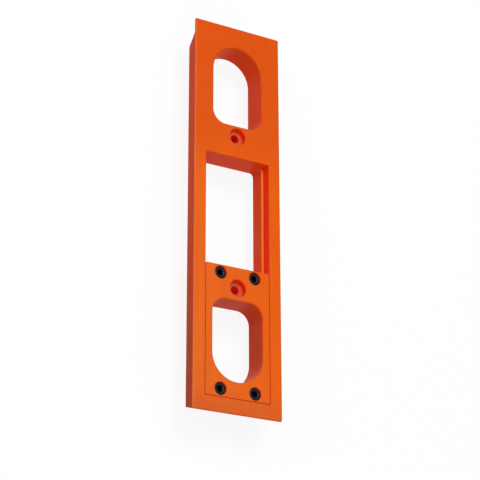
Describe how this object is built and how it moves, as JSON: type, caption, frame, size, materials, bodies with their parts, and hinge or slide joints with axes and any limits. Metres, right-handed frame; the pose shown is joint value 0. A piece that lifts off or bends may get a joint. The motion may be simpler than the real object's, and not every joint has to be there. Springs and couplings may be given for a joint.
{
  "type": "door hinge jig",
  "caption": "Flat routing template with an arched slot, a ledged window, a screwed insert plate with a second arched slot, and counterbored fixing holes.",
  "frame": {"origin": "centre of the bounding box at the plane that the rear pads rest on", "axes": "+X across the width, +Y along the length towards the arched end, +Z out of the front face"},
  "size_m": [0.055, 0.23, 0.025],
  "materials": {
    "orange_plastic": "moulded satin",
    "black_steel": "black oxide",
    "brass": "turned"
  },
  "bodies": {
    "root": {"template_body": "orange_plastic", "insert_plate": "orange_plastic", "cap_screw_top_left": "black_steel", "cap_screw_top_right": "black_steel", "cap_screw_bottom_left": "black_steel", "cap_screw_bottom_right": "black_steel", "threaded_bush_top_left": "brass", "threaded_bush_top_right": "brass", "threaded_bush_bottom_left": "brass", "threaded_bush_bottom_right": "brass"}
  },
  "joints": []
}
